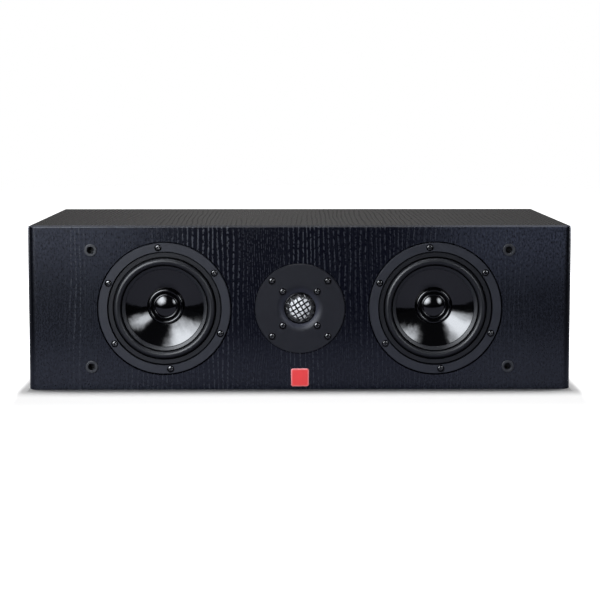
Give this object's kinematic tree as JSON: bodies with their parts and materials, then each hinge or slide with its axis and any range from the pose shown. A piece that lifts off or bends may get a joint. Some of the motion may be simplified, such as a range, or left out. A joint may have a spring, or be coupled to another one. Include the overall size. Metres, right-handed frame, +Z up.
{
  "type": "center channel speaker",
  "caption": "Wide black ash loudspeaker that lies under a screen, with woofers either side of a meshed dome tweeter, grille sockets, rear ports and binding posts.",
  "frame": {"origin": "middle of the cabinet's bottom face", "axes": "+X to the right seen from the front, -Y out of the front, +Z up"},
  "size_m": [0.63, 0.2665, 0.19],
  "materials": {
    "black_ash_vinyl": "vinyl wrap with a black ash grain on board",
    "bare_board": "bare fibreboard",
    "foam": "open foam",
    "red_enamel": "glossy resin",
    "socket_plastic": "satin",
    "frame_coating": "satin black coating on die-cast alloy",
    "surround_rubber": "matte",
    "gloss_cone": "polished",
    "coil_copper": "enamelled copper wire",
    "spider_cloth": "resin-dipped cloth",
    "motor_steel": "zinc plated",
    "ferrite": "sintered ferrite",
    "strip_fibre": "fibre board",
    "black_screw": "black oxide",
    "port_plastic": "satin moulded",
    "plate_coating": "satin black coating",
    "mesh_steel": "black paint",
    "dome_metal": "bright drawn foil",
    "plated_brass": "gold plated",
    "red_knob_plastic": "moulded",
    "black_knob_plastic": "moulded",
    "board_laminate": "circuit board",
    "capacitor_sleeve": "film sleeve",
    "resistor_ceramic": "cement",
    "wire_sleeve": "insulation"
  },
  "bodies": {
    "cabinet": {"back_panel": "black_ash_vinyl", "badge": "red_enamel", "black_binding_post": "plated_brass", "bottom_panel": "black_ash_vinyl", "crossover_board": "board_laminate", "crossover_capacitors": "capacitor_sleeve", "crossover_inductors": "coil_copper", "crossover_resistors": "resistor_ceramic", "damping_pads": "foam", "front_baffle": "black_ash_vinyl", "grille_sockets": "socket_plastic", "internal_wiring": "wire_sleeve", "left_brace": "bare_board", "left_port_tube": "port_plastic", "left_side_panel": "black_ash_vinyl", "left_woofer_frame": "frame_coating", "left_woofer_magnet": "ferrite", "left_woofer_pole_yoke": "motor_steel", "left_woofer_screws": "black_screw", "left_woofer_spider": "spider_cloth", "left_woofer_surround": "surround_rubber", "left_woofer_terminal_strip": "strip_fibre", "left_woofer_top_plate": "motor_steel", "lock_nuts": "plated_brass", "red_binding_post": "plated_brass", "right_brace": "bare_board", "right_port_tube": "port_plastic", "right_side_panel": "black_ash_vinyl", "right_woofer_frame": "frame_coating", "right_woofer_magnet": "ferrite", "right_woofer_pole_yoke": "motor_steel", "right_woofer_screws": "black_screw", "right_woofer_spider": "spider_cloth", "right_woofer_surround": "surround_rubber", "right_woofer_terminal_strip": "strip_fibre", "right_woofer_top_plate": "motor_steel", "terminal_cup": "port_plastic", "terminal_cup_screws": "black_screw", "top_panel": "black_ash_vinyl", "tweeter_faceplate": "plate_coating", "tweeter_magnet": "ferrite", "tweeter_mesh": "mesh_steel", "tweeter_motor_screws": "black_screw", "tweeter_mounting_screws": "black_screw", "tweeter_pole_yoke": "motor_steel", "tweeter_surround": "surround_rubber", "tweeter_top_plate": "motor_steel"},
    "left_woofer_diaphragm": {"left_woofer_cone": "gloss_cone", "left_woofer_dust_cap": "gloss_cone", "left_woofer_voice_coil": "coil_copper"},
    "right_woofer_diaphragm": {"right_woofer_cone": "gloss_cone", "right_woofer_dust_cap": "gloss_cone", "right_woofer_voice_coil": "coil_copper"},
    "tweeter_diaphragm": {"tweeter_dome": "dome_metal", "tweeter_voice_coil": "coil_copper"},
    "red_nut": {"red_post_nut": "plated_brass"},
    "red_knob": {"red_post_knob": "red_knob_plastic"},
    "black_nut": {"black_post_nut": "plated_brass"},
    "black_knob": {"black_post_knob": "black_knob_plastic"}
  },
  "joints": [
    {"name": "left_woofer_stroke", "type": "slide", "parent": "cabinet", "child": "left_woofer_diaphragm", "axis": [0, -1, 0], "range_m": [-0.004, 0.004], "stiffness_N_per_m": 1000, "deforming": ["left_woofer_surround", "left_woofer_spider"]},
    {"name": "right_woofer_stroke", "type": "slide", "parent": "cabinet", "child": "right_woofer_diaphragm", "axis": [0, -1, 0], "range_m": [-0.004, 0.004], "stiffness_N_per_m": 1000, "deforming": ["right_woofer_surround", "right_woofer_spider"]},
    {"name": "tweeter_stroke", "type": "slide", "parent": "cabinet", "child": "tweeter_diaphragm", "axis": [0, -1, 0], "range_m": [-0.0004, 0.0004], "stiffness_N_per_m": 500, "deforming": ["tweeter_surround"]},
    {"name": "black_nut_travel", "type": "slide", "parent": "cabinet", "child": "black_nut", "axis": [0, 1, 0], "range_m": [0, 0.005]},
    {"name": "black_knob_turn", "type": "hinge", "parent": "black_nut", "child": "black_knob", "pos_m": [-0.016, 0.126, 0.095], "axis": [0, 1, 0], "range_deg": [0, 1800]},
    {"name": "red_nut_travel", "type": "slide", "parent": "cabinet", "child": "red_nut", "axis": [0, 1, 0], "range_m": [0, 0.005]},
    {"name": "red_knob_turn", "type": "hinge", "parent": "red_nut", "child": "red_knob", "pos_m": [0.016, 0.126, 0.095], "axis": [0, 1, 0], "range_deg": [0, 1800]}
  ],
  "couplings": [
    {"joint": "black_knob_turn", "follows": "black_nut_travel", "rad_per_m": 6283.1},
    {"joint": "red_knob_turn", "follows": "red_nut_travel", "rad_per_m": 6283.1}
  ]
}
